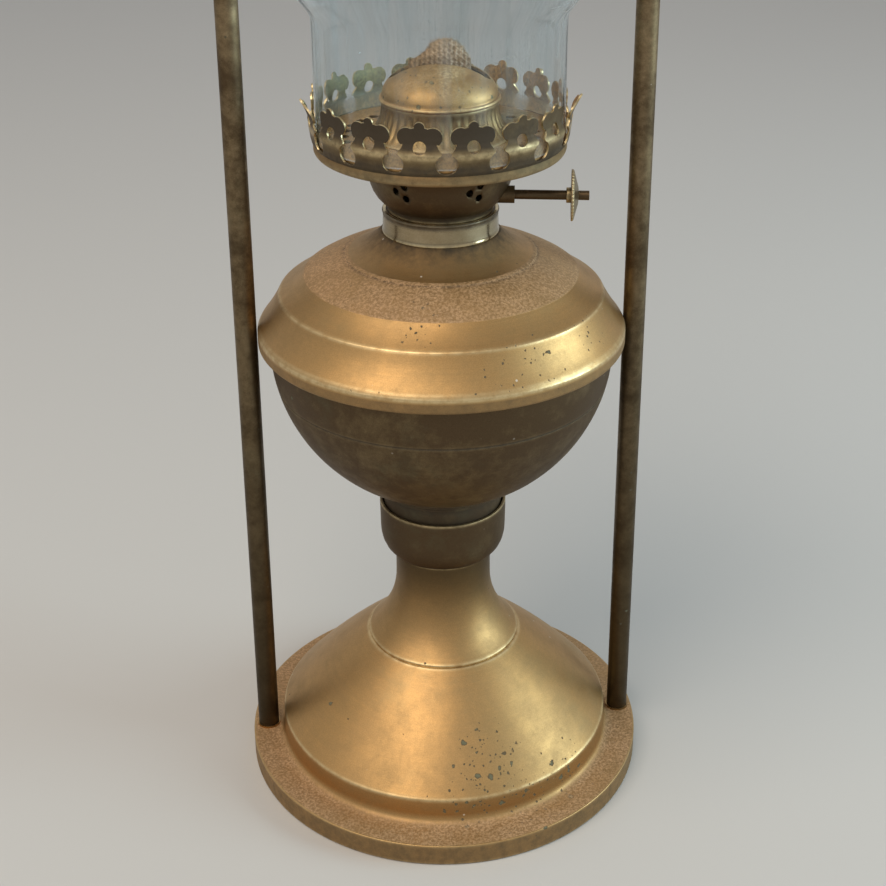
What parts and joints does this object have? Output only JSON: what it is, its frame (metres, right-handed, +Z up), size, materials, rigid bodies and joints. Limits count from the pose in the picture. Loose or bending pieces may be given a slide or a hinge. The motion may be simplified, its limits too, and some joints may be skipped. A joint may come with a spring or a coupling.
{
  "type": "oil lantern",
  "caption": "Tall brass oil lantern: round stepped reservoir on a waisted foot, flat-wick burner in a pierced coronet, glass chimney, canopy on two tube uprights, and a bail.",
  "frame": {"origin": "centre of the felt pad's underside, on the surface that the lantern stands on", "axes": "+Z up along the lantern's own axis; +X through the right-hand upright, the side the wick knob leaves by; +Y to the back, where the bail lies down"},
  "size_m": [0.176, 0.176, 0.557],
  "materials": {
    "brass_shell": "aged satin brass, browned and dusty in the coves, bright along the edges",
    "polished_brass": "pale brass, rubbed bright, with vertical streaks",
    "burner_brass": "thin pressed brass, heat browned, with worn bright edges",
    "tube_bronze": "dull browned brass tube with a few spots",
    "plain_steel": "plain turned steel",
    "weight_iron": "rough cast",
    "felt": "dense wool felt",
    "wick_cotton": "flat woven cotton, a little singed along the top",
    "cork": "pressed cork",
    "chimney_glass": "clear blown glass, dusty, with faint vertical streaks"
  },
  "bodies": {
    "stand": {"base_shell": "brass_shell", "stem": "brass_shell", "stem_cup": "brass_shell", "reservoir_boss": "brass_shell", "reservoir_bowl": "brass_shell", "reservoir_top": "brass_shell", "canopy": "brass_shell", "vent_collar": "brass_shell", "cap_posts": "brass_shell", "smoke_cap": "brass_shell", "bail_ears": "brass_shell", "collar": "polished_brass", "upright_ferrules": "polished_brass", "cap_washers": "polished_brass", "acorn_nuts": "polished_brass", "cap_screws": "polished_brass", "ear_rivets": "polished_brass", "upright_left": "tube_bronze", "upright_right": "tube_bronze", "bottom_plate": "plain_steel", "tie_rod": "plain_steel", "tie_washer": "plain_steel", "tie_nut": "plain_steel", "upright_studs": "plain_steel", "foot_washers": "plain_steel", "foot_nuts": "plain_steel", "base_weight": "weight_iron", "felt_pad": "felt"},
    "gasket": {"burner_gasket": "cork"},
    "burner": {"burner_plug": "burner_brass", "air_basket": "burner_brass", "gallery_plate": "burner_brass", "coronet": "burner_brass", "flame_bell": "burner_brass", "flame_dome": "burner_brass", "wick_tube": "burner_brass", "spindle_brackets": "burner_brass", "spindle_gland": "burner_brass"},
    "wick_knob": {"spindle": "burner_brass", "wick_wheels": "burner_brass", "knob": "polished_brass"},
    "wick_body": {"wick": "wick_cotton"},
    "glass": {"chimney": "chimney_glass"},
    "handle": {"bail": "brass_shell"}
  },
  "joints": [
    {"name": "burner_rise", "type": "slide", "parent": "stand", "child": "gasket", "axis": [0, 0, 1], "range_m": [0, 0.006]},
    {"name": "burner_turn", "type": "hinge", "parent": "gasket", "child": "burner", "pos_m": [0, 0, 0.25], "axis": [0, 0, 1], "range_deg": [0, 1080]},
    {"name": "chimney_lift", "type": "slide", "parent": "burner", "child": "glass", "axis": [0, 0, 1], "range_m": [0, 0.024]},
    {"name": "knob_turn", "type": "hinge", "parent": "burner", "child": "wick_knob", "pos_m": [-0.00097, -0.00693, 0.26688], "axis": [0.9903, -0.1392, 0], "range_deg": [-165, 80]},
    {"name": "wick_rise", "type": "slide", "parent": "burner", "child": "wick_body", "axis": [0, 0, 1], "range_m": [-0.016, 0.0078]},
    {"name": "bail_swing", "type": "hinge", "parent": "stand", "child": "handle", "pos_m": [0, 0, 0.51525], "axis": [1, 0, 0], "range_deg": [0, 212]}
  ],
  "couplings": [
    {"joint": "burner_rise", "follows": "burner_turn", "m_per_rad": 0.000318},
    {"joint": "wick_rise", "follows": "knob_turn", "m_per_rad": 0.0055}
  ]
}
